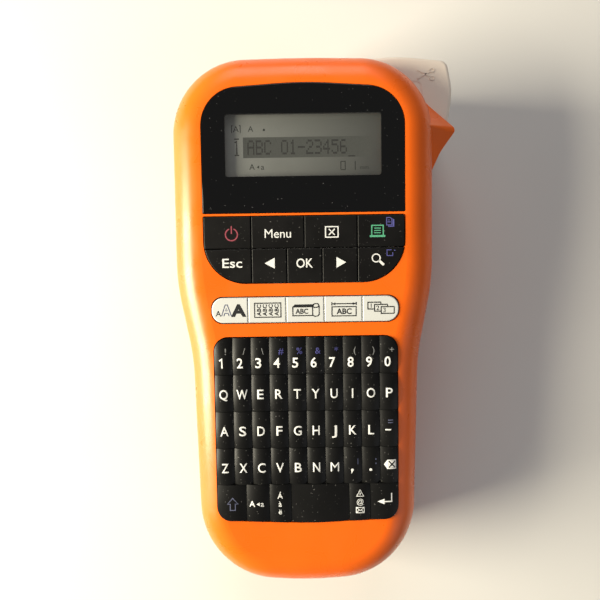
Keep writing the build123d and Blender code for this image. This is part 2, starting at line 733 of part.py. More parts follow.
with BuildPart() as board_components:
    for u, v, width, height, thick in CHIPS:
        with Locations((u, v, BOARD[0] - thick / 2)):
            Box(width, height, thick)
    for u, v in CAPACITORS:
        with Locations((u, v, BOARD[0] - CAPACITOR[1] / 2)):
            Cylinder(*CAPACITOR)
save(on_face(board_components.part), "board_components")

# ---- keys ------------------------------------------------------------------------------------
for row, keys in enumerate(FUNCTION_ROWS):
    edges = [left for _, left in keys] + [PANEL_HALF]
    for index, (name, left) in enumerate(keys):
        low, high = FUNCTION_V[row], FUNCTION_V[row + 1]
        outline = cell(function_shape(-FIELD_GAP), left, edges[index + 1], low, high)
        save(flat_key(outline, FUNCTION_TOP, 0.3), name)

edges = [left for _, left in STRIP_KEYS] + [STRIP_HALF]
for index, (name, left) in enumerate(STRIP_KEYS):
    outline = cell(strip_shape(-FIELD_GAP), left, edges[index + 1], *STRIP_V, CLOSE_GAP)
    save(flat_key(outline, STRIP_TOP, 0.45), name)

for row, name in enumerate(LETTER_ROWS):
    low = ROW_TOP - (len(LETTER_ROWS) - row) * ROW_PITCH
    field = pad_shape(-FIELD_GAP)
    with BuildPart() as letters:
        for column in range(PAD_COLUMNS):
            left = (column - PAD_COLUMNS / 2) * COLUMN_PITCH
            add(letter_key(field, left, left + COLUMN_PITCH, low, low + ROW_PITCH))
        web = cell(field, -PAD_HALF, PAD_HALF, low, low + ROW_PITCH, CLOSE_GAP)
        add(slab(web, KEY_BOTTOM, KEY_BOTTOM + WEB_T))
    save(on_face(letters.part), name)

edges = [left for _, left in BOTTOM_ROW] + [PAD_HALF]
for index, (name, left) in enumerate(BOTTOM_ROW):
    low, high = PAD_V[0] - PAD_BOW, ROW_TOP - len(LETTER_ROWS) * ROW_PITCH
    save(on_face(letter_key(pad_shape(-FIELD_GAP), left, edges[index + 1], low, high)), name)

# ---- tape cassette ---------------------------------------------------------------------------
def cassette_plan(grow=0.0):
    """Outline of the cassette, with the corner at the print head left out."""
    notch_x, notch_y = CASSETTE_NOTCH
    corners = [
        ((CASSETTE_X[0], CASSETTE_Y[0]), 3),
        ((CASSETTE_X[1], CASSETTE_Y[0]), 3),
        ((CASSETTE_X[1], notch_y), 1.5),
        ((notch_x, notch_y), 1.3),
        ((notch_x, CASSETTE_Y[1]), 1.5),
        ((CASSETTE_X[0], CASSETTE_Y[1]), 3),
    ]
    return rounded_polygon(corners, grow)


def cassette_half(low, high, floor_low, floor_high):
    """Half of the cassette: a wall round its outline and a floor."""
    half = slab(cassette_plan(), low, high) - slab(cassette_plan(-CASSETTE_WALL), low - 1, high + 1)
    half = half + slab(cassette_plan(), floor_low, floor_high)
    mouth_x = (CASSETTE_NOTCH[0] - 2.5, CASSETTE_NOTCH[0] + 1)
    mouth_y = (TAPE_Y - MOUTH_HALF, TAPE_Y + MOUTH_HALF)
    return half - box(mouth_x, mouth_y, TAPE_Z)


SPLIT = CASSETTE_SPLIT_Z
LOW_IN, HIGH_IN = CASSETTE_Z[0] + CASSETTE_WALL, CASSETTE_Z[1] - CASSETTE_WALL
with BuildPart() as cassette_lower:
    add(cassette_half(CASSETTE_Z[0], SPLIT, CASSETTE_Z[0], LOW_IN))
    add(rod(TAPE_ROLL, TAPE_POST_R, CASSETTE_Z[0] + 0.5, HIGH_IN))
    add(rod(SUPPLY, SPOOL_POST_R, CASSETTE_Z[0] + 0.5, HIGH_IN))
    add(rod(GUIDE, 1.3, CASSETTE_Z[0] + 0.5, HIGH_IN))
save(cassette_lower.part, "cassette_lower")

with BuildPart() as cassette_upper:
    add(cassette_half(SPLIT, CASSETTE_Z[1], HIGH_IN, CASSETTE_Z[1]))
    add(rod(TAKEUP, SPOOL_POST_R + 1.6, HIGH_IN - 1, CASSETTE_Z[1] + 1), mode=Mode.SUBTRACT)
save(cassette_upper.part, "cassette_upper")

with BuildPart() as tape_spool:
    add(ring(TAPE_ROLL, TAPE_HUB_R, TAPE_POST_R + RUNNING, TAPE_Z[0] - 0.3, TAPE_Z[1] + 0.3))
    add(ring(TAPE_ROLL, TAPE_ROLL[2], TAPE_HUB_R - 0.1, *TAPE_Z))
save(tape_spool.part, "tape_spool")

with BuildPart() as ribbon_supply:
    add(ring(SUPPLY, 4.0, SPOOL_POST_R + RUNNING, TAPE_Z[0] - 0.3, TAPE_Z[1] + 0.3))
    add(ring(SUPPLY, SUPPLY[2], 3.9, *TAPE_Z))
save(ribbon_supply.part, "ribbon_supply")

with BuildPart() as ribbon_takeup:
    add(ring(TAKEUP, 4.0, SPOOL_POST_R, TAPE_Z[0] - 0.3, TAPE_Z[1] + 0.3))
    add(ring(TAKEUP, TAKEUP_R, 3.9, *TAPE_Z))
save(ribbon_takeup.part, "ribbon_takeup")

roll_x, roll_y, roll_r = TAPE_ROLL
clearance = 0.5
leave = (roll_x - 0.5, roll_y + roll_r + clearance)
with BuildPart() as label_tape:
    with BuildSketch(Plane.XY.offset(TAPE_Z[0])):
        with BuildLine():
            Polyline(leave, (GUIDE[0], TAPE_Y), (ANVIL_X[0] + 0.3, TAPE_Y))
            offset(amount=TAPE_T, side=Side.RIGHT)
        make_face()
    extrude(amount=TAPE_Z[1] - TAPE_Z[0])
save(label_tape.part, "label_tape")

# ---- mechanism -------------------------------------------------------------------------------
with BuildPart() as mechanism_frame:
    add(box(PLATE_X, PLATE_Y, PLATE_Z))
    shelf_x = (MOTOR[0] - MOTOR_SHELF[0], MOTOR[0] + MOTOR_SHELF[0])
    add(box(shelf_x, (PLATE_Y[1] - 1, MOTOR[1] + MOTOR_SHELF[1]), PLATE_Z))
    for point in (FIRST, SECOND):
        add(rod(point, SHAFT_R, PLATE_Z[1] - 0.5, LEVEL_2[1] + SHAFT_END))
    add(rod(SECOND, 2.0, PLATE_Z[1] - 0.5, LEVEL_2[0] - 0.1))
    for point in SCREW_POINTS:
        add(rod(point, BOSS_R + 0.5, 0, 60), mode=Mode.SUBTRACT)
    add(rod(PLATEN, SHAFT_R + RUNNING, 0, 60), mode=Mode.SUBTRACT)
    add(rod(TAKEUP, SPOOL_POST_R + RUNNING, 0, 60), mode=Mode.SUBTRACT)
    add(rod(MOTOR, 3.0, 0, 60), mode=Mode.SUBTRACT)
    for point in PLATE_HOLES:
        add(rod(point, PLATE_HOLE_R, 0, 60), mode=Mode.SUBTRACT)
save(mechanism_frame.part, "mechanism_frame")

with BuildPart() as platen_holder:
    sides = (PLATEN[0] - HOLDER_HALF, PLATEN[0] + HOLDER_HALF)
    add(box(sides, (PLATEN[1] + PLATEN_R + 0.4, HOLDER_BACK_Y), (HOLDER_Z[0], PLATE_Z[0])))
    add(box(sides, (PLATEN[1] - 2.5, HOLDER_BACK_Y), HOLDER_Z))
    add(rod(PLATEN, SHAFT_R + RUNNING, 0, 10), mode=Mode.SUBTRACT)
save(platen_holder.part, "platen_holder")

with BuildPart() as platen_roller:
    add(ring(PLATEN, PLATEN_R, SHAFT_R, 4.8, 18.6))
save(platen_roller.part, "platen_roller")

with BuildPart() as platen_gear:
    add(rod(PLATEN, SHAFT_R, HOLDER_Z[0], LEVEL_2[1] + SHAFT_END))
    add(gear(PLATEN_TEETH, PLATEN, platen_phase, *LEVEL_2, SHAFT_R - 0.1))
save(platen_gear.part, "platen_gear")

with BuildPart() as print_head:
    sides = (PLATEN[0] - HEAD_HALF, PLATEN[0] + HEAD_HALF)
    add(box(sides, (CASSETTE_NOTCH[1] + 1.6, TAPE_Y - 1.2), (5.0, PLATE_Z[0])))
    with Locations((PLATEN[0], TAPE_Y - 1.2, (TAPE_Z[0] + TAPE_Z[1]) / 2)):
        Box(3.0, 1.2, 13.0)
save(print_head.part, "print_head")

with BuildPart() as drive_motor:
    add(rod(MOTOR, MOTOR_R, 5.0, PLATE_Z[0]))
    add(rod(MOTOR, 2.8, PLATE_Z[0], PLATE_Z[0] + 1.2))
    add(rod(MOTOR, MOTOR_SHAFT_R, 4.0, 22.0), mode=Mode.SUBTRACT)
save(drive_motor.part, "drive_motor")

with BuildPart() as motor_pinion:
    add(rod(MOTOR, MOTOR_SHAFT_R - RUNNING, 6.0, LEVEL_1[1] + SHAFT_END))
    add(gear(PINION_TEETH, MOTOR, pinion_phase, *LEVEL_1, 0.9))
save(motor_pinion.part, "motor_pinion")

with BuildPart() as first_gear:
    add(gear(FIRST_TEETH[0], FIRST, first_phase, *LEVEL_1, SHAFT_R + RUNNING))
    add(gear(FIRST_TEETH[1], FIRST, small_phase, LEVEL_1[1] - 0.1, LEVEL_2[1], SHAFT_R + RUNNING))
save(first_gear.part, "first_gear")

with BuildPart() as second_gear:
    add(gear(SECOND_TEETH, SECOND, second_phase, *LEVEL_2, SHAFT_R + RUNNING))
save(second_gear.part, "second_gear")

with BuildPart() as ribbon_drive:
    add(rod(TAKEUP, SPOOL_POST_R, TAPE_Z[0], LEVEL_2[1] + 0.4))
    add(gear(RIBBON_TEETH, TAKEUP, ribbon_phase, *LEVEL_2, SPOOL_POST_R - 0.1))
save(ribbon_drive.part, "ribbon_drive")

# ---- cutter ----------------------------------------------------------------------------------
lever_plan = rounded_polygon(LEVER_OUTLINE)
with BuildPart() as cutter_lever:
    add(slab(lever_plan, *LEVER_Z))
    fillet(cutter_lever.faces().sort_by(Axis.Z)[-1].edges(), LEVER_RIM_R)
    add(slab(rounded_polygon(FLANGE_OUTLINE), LEVER_Z[1] - LEVER_WALL, LEVER_Z[1] - LEVER_RIM_DROP))
    hollow = rounded_polygon(LEVER_OUTLINE, -LEVER_WALL)
    add(slab(hollow, LEVER_Z[0] - 1, LEVER_Z[1] - LEVER_WALL), mode=Mode.SUBTRACT)
    add(rod(LEVER_PIVOT, LEVER_HUB_R, LEVER_Z[0], LEVER_Z[1] - 1.0))
    add(rod(LEVER_PIVOT, SHAFT_R + RUNNING, 0, 60), mode=Mode.SUBTRACT)
    add(rod(LEVER_PIVOT, SPRING_R + 0.8, 20.0, 30.0), mode=Mode.SUBTRACT)
    add(box(BLADE_X, (70.0, 88.0), BLADE_Z), mode=Mode.SUBTRACT)
save(cutter_lever.part, "cutter_lever")

save(rod(LEVER_PIVOT, SHAFT_R, *POCKET_Z), "cutter_pin")

with BuildPart() as cutter_spring:
    pitch = 2 * SPRING_WIRE_R + 0.3
    for turn in range(SPRING_TURNS):
        with Locations((LEVER_PIVOT[0], LEVER_PIVOT[1], 22.0 + turn * pitch)):
            Torus(SPRING_R, SPRING_WIRE_R)
save(cutter_spring.part, "cutter_spring")

with BuildPart() as cutter_blade:
    with BuildSketch(Plane.YZ.offset(BLADE_X[0])):
        edge = [(77.2, BLADE_Z[0]), (78.2, BLADE_Z[1]), (88.0, BLADE_Z[1]), (88.0, BLADE_Z[0])]
        Polygon(*edge, align=None)
    extrude(amount=BLADE_X[1] - BLADE_X[0])
save(cutter_blade.part, "cutter_blade")

with BuildPart() as cutter_anvil:
    add(box(ANVIL_X, (POCKET_Y[1] + 0.3, 82.0), (POCKET_Z[0], 20.0)))
    add(tape_slot(ANVIL_X[0] - 1, ANVIL_X[1] + 1), mode=Mode.SUBTRACT)
save(cutter_anvil.part, "cutter_anvil")

# ---- power inlet -----------------------------------------------------------------------------
with BuildPart() as dc_inlet:
    wall_x = -SIDE_X + WALL + 0.3
    with Locations((wall_x + INLET_BODY[0] / 2, INLET_YZ[0], INLET_YZ[1])):
        Box(*INLET_BODY)
    with Locations(Location((wall_x + 4.5, INLET_YZ[0], INLET_YZ[1]), (0, 90, 0))):
        Cylinder(INLET_BORE_R, 9.0, mode=Mode.SUBTRACT)
    with Locations(Location((wall_x + 5.0, INLET_YZ[0], INLET_YZ[1]), (0, 90, 0))):
        Cylinder(INLET_PIN_R, 8.6)
save(dc_inlet.part, "dc_inlet")
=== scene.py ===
"""Looks of the handheld label maker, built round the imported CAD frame. Metres, in the CAD's own frame."""

import json
import math

import bmesh
import bpy
from mathutils import Matrix, Vector
from mathutils.bvhtree import BVHTree


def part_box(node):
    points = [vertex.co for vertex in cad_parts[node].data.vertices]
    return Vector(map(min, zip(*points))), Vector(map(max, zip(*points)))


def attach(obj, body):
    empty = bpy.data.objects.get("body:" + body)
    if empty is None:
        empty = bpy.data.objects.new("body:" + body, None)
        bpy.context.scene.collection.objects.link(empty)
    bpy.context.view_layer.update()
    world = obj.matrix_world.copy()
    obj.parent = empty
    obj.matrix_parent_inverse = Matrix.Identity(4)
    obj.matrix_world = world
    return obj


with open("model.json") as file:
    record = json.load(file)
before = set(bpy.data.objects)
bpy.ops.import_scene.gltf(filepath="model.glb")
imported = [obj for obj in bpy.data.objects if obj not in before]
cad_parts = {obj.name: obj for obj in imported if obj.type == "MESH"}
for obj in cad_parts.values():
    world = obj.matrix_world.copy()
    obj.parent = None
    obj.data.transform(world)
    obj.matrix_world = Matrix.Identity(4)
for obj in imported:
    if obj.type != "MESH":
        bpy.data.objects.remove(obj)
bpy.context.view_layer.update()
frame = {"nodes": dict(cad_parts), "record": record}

# ---- places, in millimetres on the tilted face: u to the right, v towards the display end --------
MM = 0.001
FACE_TILT = math.radians(3.0)
FACE_HEIGHT = 53.5 * MM
ACROSS = Vector((1, 0, 0))
ALONG = Vector((0, math.cos(FACE_TILT), math.sin(FACE_TILT)))
OUT = Vector((0, -math.sin(FACE_TILT), math.cos(FACE_TILT)))
INK_LIFT = 0.02 * MM  # how far printed legends stand off the surface
INK_GRID = 0.6  # legends are cut at this pitch, so that they follow a crowned key
DROP = 12 * MM  # height over the face from which they are pressed on to it
CAP_HEIGHT = 3.45  # of the letters on the keypad
PAD_TOP = -4.2  # upper edge of the keypad
COLUMN = 6.83  # pitch of its keys across
COLUMNS = 10
LAST = COLUMNS - 1
ROW = 13.95  # pitch of its rows


def column_middle(column):
    """Where a column of letter keys has its middle, counted from the left."""
    return (column + 0.5 - COLUMNS / 2) * COLUMN


def row_middle(row):
    """Where a row of letter keys has its middle, counted from the top."""
    return PAD_TOP - ROW * (row + 0.5)


def on_face(u, v, w=0.0):
    """The point at (u, v) millimetres on the face and w metres out of it."""
    return Vector((0, 0, FACE_HEIGHT)) + ACROSS * (u * MM) + ALONG * (v * MM) + OUT * w


# ---- materials -----------------------------------------------------------------------------------
def new_material(name, colour, roughness, metallic=0.0):
    """A material with its tree and its Principled shader, coloured and ready for detail."""
    material = bpy.data.materials.new(name)
    material.use_nodes = True
    tree = material.node_tree
    shader = tree.nodes["Principled BSDF"]
    shader.inputs["Base Color"].default_value = (*colour, 1)
    shader.inputs["Roughness"].default_value = roughness
    shader.inputs["Metallic"].default_value = metallic
    return material, tree, shader


def noise(tree, scale, detail=2.0, stretch=(1, 1, 1), distortion=0.0):
    """A noise texture in the object's own coordinates, stretched along the axes if asked."""
    place = tree.nodes.new("ShaderNodeTexCoord")
    mapping = tree.nodes.new("ShaderNodeMapping")
    mapping.inputs["Scale"].default_value = stretch
    texture = tree.nodes.new("ShaderNodeTexNoise")
    texture.inputs["Scale"].default_value = scale
    texture.inputs["Detail"].default_value = detail
    texture.inputs["Distortion"].default_value = distortion
    tree.links.new(place.outputs["Object"], mapping.inputs["Vector"])
    tree.links.new(mapping.outputs["Vector"], texture.inputs["Vector"])
    return texture.outputs["Fac"]


def levels(tree, value, low, high, out_low=0.0, out_high=1.0):
    """Stretches a value from one range to another, clamped at both ends."""
    node = tree.nodes.new("ShaderNodeMapRange")
    node.inputs["From Min"].default_value = low
    node.inputs["From Max"].default_value = high
    node.inputs["To Min"].default_value = out_low
    node.inputs["To Max"].default_value = out_high
    tree.links.new(value, node.inputs["Value"])
    return node.outputs["Result"]


def blend_colour(tree, share, first, second):
    """A mix of two colours, each a tuple or a socket, by a share."""
    node = tree.nodes.new("ShaderNodeMix")
    node.data_type = "RGBA"
    tree.links.new(share, node.inputs["Factor"])
    for socket, colour in ((node.inputs[6], first), (node.inputs[7], second)):
        if isinstance(colour, tuple):
            socket.default_value = (*colour, 1)
        else:
            tree.links.new(colour, socket)
    return node.outputs[2]


def bump(tree, shader, height, distance, strength):
    """Adds relief to a shader, on top of any that it has."""
    node = tree.nodes.new("ShaderNodeBump")
    node.inputs["Distance"].default_value = distance
    node.inputs["Strength"].default_value = strength
    tree.links.new(height, node.inputs["Height"])
    normal = shader.inputs["Normal"]
    if normal.is_linked:
        tree.links.new(normal.links[0].from_socket, node.inputs["Normal"])
    tree.links.new(node.outputs["Normal"], normal)


def shade(colour, factor):
    """A lighter or darker version of a colour."""
    return tuple(min(1.0, channel * factor) for channel in colour)


def moulded(name, colour, roughness, grain=4000, relief=0.25, mottle=0.06, dust=0.0, shine=0.5):
    """Moulded plastic or rubber: fine grain, faint mottling, uneven gloss, and dust if asked."""
    material, tree, shader = new_material(name, colour, roughness)
    drift = levels(tree, noise(tree, 45, 3), 0.35, 0.65)
    tone = blend_colour(tree, drift, shade(colour, 1 - mottle), shade(colour, 1 + mottle))
    if dust:
        speck = levels(tree, noise(tree, 1500, 1), 0.735, 0.77, 0.0, dust)
        tone = blend_colour(tree, speck, tone, (0.35, 0.34, 0.32))
    tree.links.new(tone, shader.inputs["Base Color"])
    wear = noise(tree, 90, 4, distortion=0.6)
    handled = levels(tree, wear, 0.3, 0.7, roughness - 0.05, roughness + 0.07)
    tree.links.new(handled, shader.inputs["Roughness"])
    bump(tree, shader, noise(tree, grain, 2), 0.00002, relief)
    bump(tree, shader, noise(tree, grain / 9, 2), 0.00006, relief * 0.5)
    shader.inputs["Specular IOR Level"].default_value = shine
    return material


def glossy(name, colour, roughness=0.06, scratches=0.15):
    """Polished plastic with faint rubbed scratches and smears."""
    material, tree, shader = new_material(name, colour, roughness)
    smear = levels(tree, noise(tree, 55, 5, distortion=1.5), 0.45, 0.75, roughness, roughness + 0.08)
    tree.links.new(smear, shader.inputs["Roughness"])
    speck = levels(tree, noise(tree, 1300, 1), 0.755, 0.785, 0.0, 0.22)
    tree.links.new(blend_colour(tree, speck, colour, (0.3, 0.3, 0.3)), shader.inputs["Base Color"])
    hairline = levels(tree, noise(tree, 260, 2, stretch=(14, 0.6, 1), distortion=0.3), 0.62, 0.72)
    bump(tree, shader, hairline, 0.00001, scratches)
    shader.inputs["Specular IOR Level"].default_value = 0.4
    return material


def metal(name, colour, roughness, brushed=(1, 1, 1), relief=0.15):
    """Metal with a brushed or turned grain and slight tarnish."""
    material, tree, shader = new_material(name, colour, roughness, 1.0)
    grain = noise(tree, 2600, 3, stretch=brushed)
    gloss = levels(tree, grain, 0.3, 0.7, roughness - 0.08, roughness + 0.1)
    tree.links.new(gloss, shader.inputs["Roughness"])
    tarnish = levels(tree, noise(tree, 160, 4), 0.45, 0.75)
    tree.links.new(blend_colour(tree, tarnish, colour, shade(colour, 0.72)), shader.inputs["Base Color"])
    bump(tree, shader, grain, 0.00001, relief)
    return material


def ink(name, colour, roughness=0.5):
    """Printed ink, slightly uneven and worn."""
    material, tree, shader = new_material(name, colour, roughness)
    worn = levels(tree, noise(tree, 2200, 3), 0.35, 0.7)
    tree.links.new(blend_colour(tree, worn, colour, shade(colour, 0.8)), shader.inputs["Base Color"])
    bump(tree, shader, noise(tree, 5000, 2), 0.00001, 0.2)
    return material


def clear_window(name):
    """A thin clear window: mostly seen through, mirroring a little more at a glance."""
    material, tree, shader = new_material(name, (0.1, 0.1, 0.1), 0.04)
    shader.inputs["Alpha"].default_value = 0.12
    shader.inputs["IOR"].default_value = 1.5
    smear = levels(tree, noise(tree, 70, 4, distortion=1.2), 0.4, 0.8, 0.03, 0.12)
    tree.links.new(smear, shader.inputs["Roughness"])
    bump(tree, shader, noise(tree, 300, 2, stretch=(8, 1, 1)), 0.00001, 0.05)
    return material


GLASS_HALF = 28 * MM  # half the width of the part of the display that shows, across which the painted reflection fades


def display_glass(name):
    """Reflective grey display glass, cloudy, with a painted reflection that makes it paler towards its
    left.
    """
    material, tree, shader = new_material(name, (0.075, 0.08, 0.07), 0.28)
    place = tree.nodes.new("ShaderNodeTexCoord")
    parts = tree.nodes.new("ShaderNodeSeparateXYZ")
    tree.links.new(place.outputs["Object"], parts.inputs["Vector"])
    # painted reflection: the glass's colour runs from pale on its left to dark on its right
    across = levels(tree, parts.outputs["X"], -GLASS_HALF, GLASS_HALF)
    painted_reflection_tone = blend_colour(tree, across, (0.3, 0.31, 0.29), (0.05, 0.053, 0.05))
    cloud = levels(tree, noise(tree, 60, 3), 0.3, 0.7, 0.0, 0.3)
    tone = blend_colour(tree, cloud, painted_reflection_tone, (0.12, 0.126, 0.115))
    tree.links.new(tone, shader.inputs["Base Color"])
    bump(tree, shader, noise(tree, 3000, 2), 0.00001, 0.1)
    shader.inputs["Coat Weight"].default_value = 0.5
    return material


def board(name):
    """Green solder mask with a faint copper weave beneath it."""
    colour = (0.015, 0.11, 0.045)
    material, tree, shader = new_material(name, colour, 0.3)
    tracks = levels(tree, noise(tree, 500, 1, stretch=(1, 6, 1)), 0.5, 0.56)
    tree.links.new(blend_colour(tree, tracks, colour, (0.03, 0.19, 0.08)), shader.inputs["Base Color"])
    bump(tree, shader, tracks, 0.00003, 0.4)
    return material


WRAP_CHANGE = (-41.5 * MM, -41.0 * MM)  # where along the object the cells' wraps turn dark


def striped_cells(name):
    """Cell wraps: copper-coloured, and dark towards the display end."""
    material, tree, shader = new_material(name, (0.04, 0.045, 0.06), 0.25)
    place = tree.nodes.new("ShaderNodeTexCoord")
    parts = tree.nodes.new("ShaderNodeSeparateXYZ")
    tree.links.new(place.outputs["Object"], parts.inputs["Vector"])
    end = levels(tree, parts.outputs["Y"], *WRAP_CHANGE)
    print_wear = levels(tree, noise(tree, 120, 2), 0.3, 0.7)
    dark = blend_colour(tree, print_wear, (0.03, 0.035, 0.05), (0.05, 0.055, 0.075))
    tree.links.new(blend_colour(tree, end, (0.5, 0.24, 0.09), dark), shader.inputs["Base Color"])
    shader.inputs["Metallic"].default_value = 0.4
    bump(tree, shader, noise(tree, 3000, 2), 0.00001, 0.15)
    return material


MATERIALS = {
    "case_orange": moulded(
        "case_orange", (0.9, 0.14, 0.006), 0.3, grain=3200, relief=0.2, mottle=0.03, shine=0.4
    ),
    "key_black": moulded(
        "key_black", (0.005, 0.0046, 0.0044), 0.45, relief=0.3, mottle=0.15, dust=0.3, shine=0.2
    ),
    "key_white": moulded("key_white", (0.64, 0.645, 0.62), 0.42, relief=0.15, mottle=0.015),
    "keypad_rubber": moulded(
        "keypad_rubber", (0.0058, 0.0056, 0.0054), 0.4, relief=0.35, mottle=0.15, dust=0.4, shine=0.2
    ),
    "panel_black": glossy("panel_black", (0.003, 0.003, 0.0032)),
    "window_clear": clear_window("window_clear"),
    "lcd_grey": display_glass("lcd_grey"),
    "inner_black": moulded("inner_black", (0.03, 0.03, 0.032), 0.5),
    "board_green": board("board_green"),
    "chip_black": moulded("chip_black", (0.022, 0.022, 0.023), 0.55),
    "membrane_grey": moulded("membrane_grey", (0.24, 0.24, 0.25), 0.6),
    "steel": metal("steel", (0.56, 0.56, 0.57), 0.3, brushed=(1, 1, 0.05)),
    "head_ceramic": metal("head_ceramic", (0.62, 0.6, 0.57), 0.42),
    "cassette_grey": moulded("cassette_grey", (0.1, 0.1, 0.105), 0.45),
    "tape_white": moulded("tape_white", (0.82, 0.81, 0.78), 0.35, relief=0.1, mottle=0.02),
    "cell_wrap": striped_cells("cell_wrap"),
    "contact_steel": metal("contact_steel", (0.72, 0.71, 0.68), 0.2),
    "spring_steel": metal("spring_steel", (0.5, 0.5, 0.52), 0.3),
    "lever_cream": moulded("lever_cream", (0.84, 0.73, 0.63), 0.38, grain=3000, relief=0.2, mottle=0.03),
    "gear_plastic": moulded("gear_plastic", (0.72, 0.7, 0.62), 0.4, relief=0.15),
    "brass": metal("brass", (0.66, 0.46, 0.16), 0.25),
    "platen_rubber": moulded("platen_rubber", (0.02, 0.02, 0.02), 0.7, relief=0.4),
    "ribbon_black": glossy("ribbon_black", (0.01, 0.01, 0.012), 0.2),
}
for part in frame["record"]["subparts"]:
    node = frame["nodes"][part["node"]]
    node.data.materials.clear()
    node.data.materials.append(MATERIALS[part["material_slot"]])

WHITE = ink("ink_white", (0.86, 0.86, 0.84))
BLUE = ink("ink_blue", (0.1, 0.1, 0.34))
RED = ink("ink_red", (0.33, 0.06, 0.085))
GREEN = ink("ink_green", (0.1, 0.42, 0.24))
DARK = ink("ink_dark", (0.012, 0.012, 0.013))
GREY = ink("ink_grey", (0.33, 0.33, 0.32))
SLATE = ink("ink_slate", (0.11, 0.12, 0.2))
SEGMENT = ink("display_segment", (0.016, 0.017, 0.015), 0.4)
DIM = ink("display_dim", (0.075, 0.08, 0.073), 0.4)


# ---- printed legends -----------------------------------------------------------------------------
class Print:
    """Flat shapes gathered in (u, v) millimetres, then laid on one CAD node as a film of ink."""

    def __init__(self, name, node, material):
        self.name = name
        self.node = node
        self.material = material
        self.mesh = bmesh.new()

    def area(self, points):
        """A filled outline."""
        self.mesh.faces.new([self.mesh.verts.new((u, v, 0)) for u, v in points])
        return self

    def stroke(self, points, width, closed=False):
        """A line of even width through the points, with mitred corners."""
        count = len(points)
        sides = []
        for index, (u, v) in enumerate(points):
            before = points[index - 1] if closed or index else None
            after = points[(index + 1) % count] if closed or index < count - 1 else None
            normals = []
            for start, end in ((before, (u, v)), ((u, v), after)):
                if start and end:
                    du, dv = end[0] - start[0], end[1] - start[1]
                    length = math.hypot(du, dv)
                    normals.append((-dv / length, du / length))
            nu = sum(n[0] for n in normals) / len(normals)
            nv = sum(n[1] for n in normals) / len(normals)
            reach = width / 2 / max(0.35, nu * nu + nv * nv)
            sides.append(((u + nu * reach, v + nv * reach), (u - nu * reach, v - nv * reach)))
        rails = [[self.mesh.verts.new((*point, 0)) for point in side] for side in sides]
        for index in range(count if closed else count - 1):
            (a, b), (c, d) = rails[index], rails[(index + 1) % count]
            self.mesh.faces.new((a, b, d, c))
        return self

    def box(self, u, v, width, height, line=0.0):
        """A rectangle about its centre, filled, or drawn as a line of the given width."""
        corners = [
            (u - width / 2, v - height / 2),
            (u + width / 2, v - height / 2),
            (u + width / 2, v + height / 2),
            (u - width / 2, v + height / 2),
        ]
        return self.stroke(corners, line, closed=True) if line else self.area(corners)

    def arc(self, u, v, radius, width, start=0.0, sweep=360.0):
        """Part of a ring, or all of it."""
        whole = sweep >= 360
        steps = max(8, int(sweep / 12))  # one for each 12 degrees
        ends = steps if whole else steps + 1
        angles = [math.radians(start + sweep * step / steps) for step in range(ends)]
        points = [(u + radius * math.cos(a), v + radius * math.sin(a)) for a in angles]
        return self.stroke(points, width, closed=whole)

    def disc(self, u, v, radius):
        """A filled circle."""
        angles = [2 * math.pi * step / 20 for step in range(20)]
        return self.area([(u + radius * math.cos(a), v + radius * math.sin(a)) for a in angles])

    def text(self, words, u, v, cap, weight=0.0, turn=0.0, width=0.0):
        """Words centred on a point, with capitals of the given height, set to a width if one is given."""
        curve = bpy.data.curves.new("words", "FONT")
        curve.body = words
        curve.size = 1.0
        curve.offset = 0.0 if "M" in words else weight  # a heavier M closes up
        curve.resolution_u = 3
        holder = bpy.data.objects.new("words", curve)
        bpy.context.scene.collection.objects.link(holder)
        flat = bpy.data.meshes.new_from_object(holder.evaluated_get(bpy.context.evaluated_depsgraph_get()))
        bpy.data.objects.remove(holder)
        low = min(vertex.co.x for vertex in flat.vertices)
        high = max(vertex.co.x for vertex in flat.vertices)
        scale = cap / CAPITAL
        widen = width / ((high - low) * scale) if width else 1.0
        centre = Matrix.Translation((-(low + high) / 2, -CAPITAL / 2, 0))
        size = Matrix.Diagonal((scale * widen, scale, 1, 1))
        place = Matrix.Translation((u, v, 0)) @ Matrix.Rotation(math.radians(turn), 4, "Z")
        flat.transform(place @ size @ centre)
        self.mesh.from_mesh(flat)
        bpy.data.meshes.remove(flat)
        return self

    def lay(self, body, lift=INK_LIFT):
        """Cuts the shapes finely, presses them on to the node and lets them ride with its body."""
        work = self.mesh
        spread = [vertex.co for vertex in work.verts]
        for axis in (0, 1):
            line = math.ceil(min(co[axis] for co in spread) / INK_GRID) * INK_GRID
            end = max(co[axis] for co in spread)
            direction = Vector((1, 0, 0)) if axis == 0 else Vector((0, 1, 0))
            while line < end:
                everything = work.verts[:] + work.edges[:] + work.faces[:]
                bmesh.ops.bisect_plane(work, geom=everything, plane_co=direction * line, plane_no=direction)
                line += INK_GRID
        surface = surface_of(self.node)
        for vertex in work.verts:
            above = on_face(vertex.co.x, vertex.co.y, DROP)
            hit = surface.ray_cast(above, -OUT)[0]
            vertex.co = (hit if hit else on_face(vertex.co.x, vertex.co.y)) + OUT * lift
        bmesh.ops.recalc_face_normals(work, faces=work.faces[:])
        for face in work.faces:
            if face.normal.dot(OUT) < 0:
                face.normal_flip()
        mesh = bpy.data.meshes.new(self.name)
        work.to_mesh(mesh)
        work.free()
        mesh.materials.append(self.material)
        piece = bpy.data.objects.new(self.name, mesh)
        bpy.context.scene.collection.objects.link(piece)
        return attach(piece, body)


SURFACES = {}  # filled as legends are laid


def surface_of(node):
    """The node's surface, for pressing a film on to it."""
    if node not in SURFACES:
        source = frame["nodes"][node].data
        corners = [vertex.co for vertex in source.vertices]
        SURFACES[node] = BVHTree.FromPolygons(corners, [face.vertices for face in source.polygons])
    return SURFACES[node]


